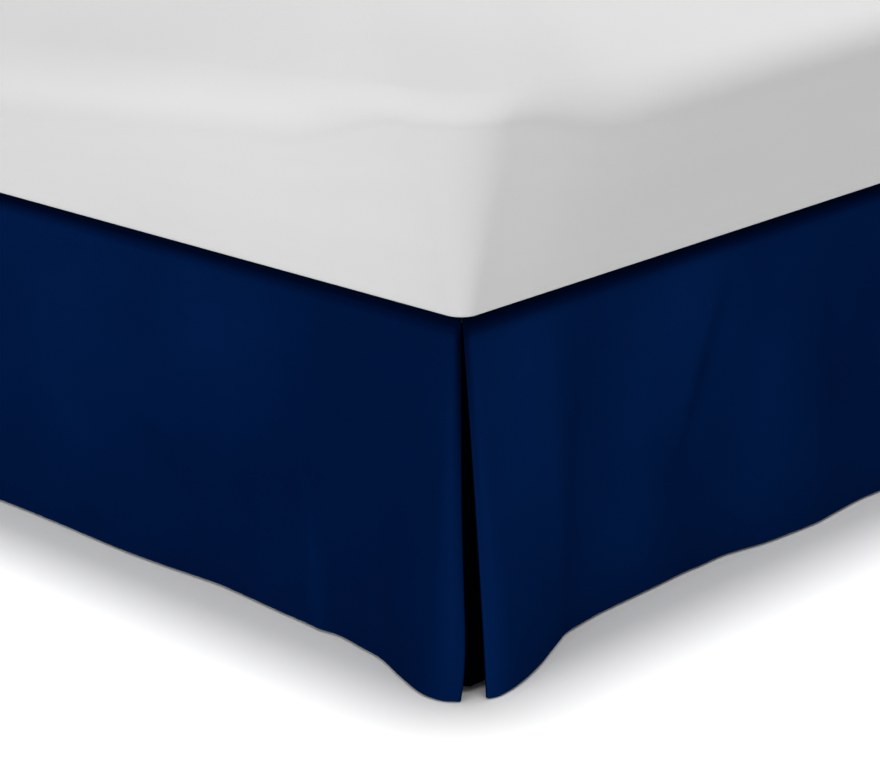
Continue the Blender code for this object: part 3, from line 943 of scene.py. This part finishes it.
def column_edge(low, high, column):
    """(height, drop): how high a column's rounded edge is, and how far its border lies below the middle."""
    quarter, place = column
    along_side = quarter % 2 == 1
    at_corner, past_corner, mid_side, mid_end = EDGE_HEIGHTS
    to_middle = 0.0 if place < 1.0 else 1.0 - abs(2.0 * (place - 1.0) - 1.0)
    run = high.y - low.y if along_side else high.x - low.x
    from_corner = to_middle * run / 2
    past = smooth_step(from_corner / CORNER_REACH)
    middle = smooth_step(to_middle)
    at_middle = mid_side if along_side else mid_end
    height = mix(at_corner, past_corner, past) + (at_middle - past_corner) * middle
    drop = CORNER_RISE * past + SIDE_SAG * smooth_step(from_corner / SAG_REACH) * along_side
    return height, drop


def painted_cover_shading(point, facing, low, high):
    """How much lighter than its plain colour the cover is painted at a point, as painted light and shade by
    where the point lies and which way it faces.
    """
    from_left, from_foot = point.x - low.x, point.y - low.y
    height = (point.z - low.z) / (high.z - low.z)
    reach = FACE_TONE_REACH * mix(0.6, 1.6, height)
    corner_share = math.exp(-((min(from_left, high.x - point.x) / reach - 0.3) ** 2))
    on_foot = FACE_PAINTED_LIGHT * mix(0.6, 1.1, height) * corner_share * smooth_step(-facing.y)
    patch_along = (from_foot - PATCH_CENTRE[0]) / PATCH_REACH[0]
    patch_up = (height - PATCH_CENTRE[1]) / PATCH_REACH[1]
    from_patch = math.hypot(patch_along, patch_up)
    on_left = PATCH_PAINTED_HIGHLIGHT * math.exp(-from_patch * from_patch) * smooth_step(-facing.x)
    at_foot, at_head, at_right = TOP_PAINTED_LIGHT_AND_SHADE
    left_edge = mix(at_foot, at_head, smooth_step(from_foot / TOP_TONE_REACH))
    on_top = mix(left_edge, at_right, smooth_step(from_left / TOP_TONE_REACH))
    on_top *= smooth_step(2.0 * facing.z - 0.9)
    from_corner = math.hypot(min(from_left, high.x - point.x), from_foot) / CORNER_TONE_REACH
    at_corner = CORNER_PAINTED_SHADE * math.exp(-from_corner * from_corner) * (1.0 - smooth_step(facing.z))
    return on_foot + on_left + on_top + at_corner


def loop_mesh(name, loops):
    """A closed solid through stacked loops of points, with a flat face at each end."""
    work = bmesh.new()
    rings = [[work.verts.new(point) for point in loop] for loop in loops]
    count = len(rings[0])
    for lower, upper in zip(rings, rings[1:]):
        for i in range(count):
            j = (i + 1) % count
            work.faces.new((lower[i], lower[j], upper[j], upper[i]))
    for ring in (list(reversed(rings[0])), rings[-1]):
        work.faces.new(ring)
    mesh = bpy.data.meshes.new(name)
    work.to_mesh(mesh)
    work.free()
    mesh.shade_smooth()
    return mesh


def make_mattress(material):
    """A soft mattress in its plain cover: its top edges sag between the corners, its middle is crowned."""
    low, high = MATTRESS_LOW, MATTRESS_HIGH
    columns = rim(SIDE_STEPS)
    bottom_radius, side_radius, top_radius = MATTRESS_CORNERS
    edges = [column_edge(low, high, column) for column in columns]
    half_width = (high.x - low.x) / 2
    loops = []
    for rise, inset in BOTTOM_TURN:
        plan = [rim_point(low, high, inset, bottom_radius, column) for column in columns]
        loops.append([(x, y, low.z + rise) for x, y in plan])
    foot = low.z + BOTTOM_TURN[-1][0]
    for i in range(1, SIDE_ROWS + 1):
        share = i / SIDE_ROWS
        radius = mix(bottom_radius, side_radius, share)
        loop = []
        for column, (height, drop) in zip(columns, edges):
            x, y = rim_point(low, high, 0.0, radius, column)
            uneven = COVER_WAVE * noise.noise(Vector((x, y, share)) * COVER_WAVE_RATE)
            bulge = SIDE_BULGE * math.sin(math.pi * share) + uneven * smooth_step(4.0 * share)
            z = mix(foot, high.z - drop - height, share)
            loop.append((*rim_point(low, high, -bulge, radius, column), z))
        loops.append(loop)
    for i in range(1, EDGE_ROWS + TOP_ROWS + 1):
        loop = []
        for column, (height, drop) in zip(columns, edges):
            last_angle = math.atan2(1.0, drop * math.pi / 2 / CROWN_REACH * EDGE_REACH)
            angle = last_angle * min(1.0, i / EDGE_ROWS)
            inset = height * EDGE_REACH * (1.0 - math.cos(angle))
            z = high.z - drop - height * (1.0 - math.sin(angle))
            radius = mix(side_radius, top_radius, math.sin(angle))
            if i > EDGE_ROWS:
                start = inset
                inset = mix(start, half_width - TOP_END, (i - EDGE_ROWS) / TOP_ROWS)
                z = mix(z, high.z, math.sin(math.pi / 2 * min(1.0, (inset - start) / CROWN_REACH)))
                radius = min(radius, 0.9 * (half_width - inset))
            x, y = rim_point(low, high, inset, radius, column)
            uneven = COVER_WAVE * noise.noise(Vector((x, y, 1.0)) * COVER_WAVE_RATE)
            proud = inset - uneven * math.cos(angle)
            up = (uneven - COVER_WAVE) * math.sin(angle)
            loop.append((*rim_point(low, high, proud, radius, column), z + up))
        loops.append(loop)
    mesh = loop_mesh("mattress_cover", loops)
    # painted light and shade on the cover, by where each point lies and which way it faces
    tones = [painted_cover_shading(vertex.co, vertex.normal, low, high) for vertex in mesh.vertices]
    store_painted_light_and_shade(mesh, tones)
    piece = add_piece("mattress_cover", mesh, material, "mattress_cloth", "mattress")


BOX_SPRING_EDGE = 0.012
BOX_SPRING_CORNER = 0.020
BOX_SPRING_ROWS = 10
BOX_SPRING_HOLLOW = 0.0018


def make_box_spring(material):
    """A cloth-covered box spring with round edges, its border drawn in a little between them."""
    low, high = BOX_SPRING_LOW, BOX_SPRING_HIGH
    columns = rim(SIDE_STEPS)
    rows = []
    for i in range(CORNER_STEPS + 1):
        angle = math.pi / 2 * i / CORNER_STEPS
        rows.append((BOX_SPRING_EDGE * (1.0 - math.sin(angle)), BOX_SPRING_EDGE * (1.0 - math.cos(angle))))
    rounded = [(inset, low.z + rise) for inset, rise in rows]
    walls = []
    for i in range(1, BOX_SPRING_ROWS):
        share = i / BOX_SPRING_ROWS
        z = mix(low.z + BOX_SPRING_EDGE, high.z - BOX_SPRING_EDGE, share)
        walls.append((BOX_SPRING_HOLLOW * math.sin(math.pi * share), z))
    top = [(inset, high.z - rise) for inset, rise in reversed(rows)]
    loops = []
    for inset, z in rounded + walls + top:
        loops.append([(*rim_point(low, high, inset, BOX_SPRING_CORNER, column), z) for column in columns])
    piece = add_piece(
        "box_spring_cover", loop_mesh("box_spring_cover", loops), material, "box_spring_cloth", "box_spring"
    )


def finish_frame(steel, plastic):
    """The steel frame and its glides keep their solids and get their finishes."""
    for name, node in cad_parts.items():
        material = None
        if "rail" in name or name.startswith("leg_"):
            material = steel
        if name.startswith("glide_"):
            material = plastic
        if material:
            for slot in node.material_slots:
                slot.material = material


navy = cloth_material("navy_cotton", NAVY_DARK, NAVY_LIGHT, NAVY_PAINTED_BLACK, NAVY_PITCH, NAVY_MOTTLE)
white = body_cloth("white_cotton", WHITE_DARK, WHITE_LIGHT, WHITE_PITCH)
ticking = body_cloth("ticking_cloth", TICKING_DARK, TICKING_LIGHT, TICKING_PITCH)
steel = solid_material("powder_coat", PAINT_DARK, PAINT_LIGHT, 0.45, 900.0, 0.0001)
plastic = solid_material("moulded_plastic", PLASTIC_DARK, PLASTIC_LIGHT, 0.55, 1400.0, 0.00006)

make_camera()
make_light()
make_floor()
make_deck(navy)
make_drops(navy)
make_underlays(navy)
make_mattress(white)
make_box_spring(ticking)
finish_frame(steel, plastic)
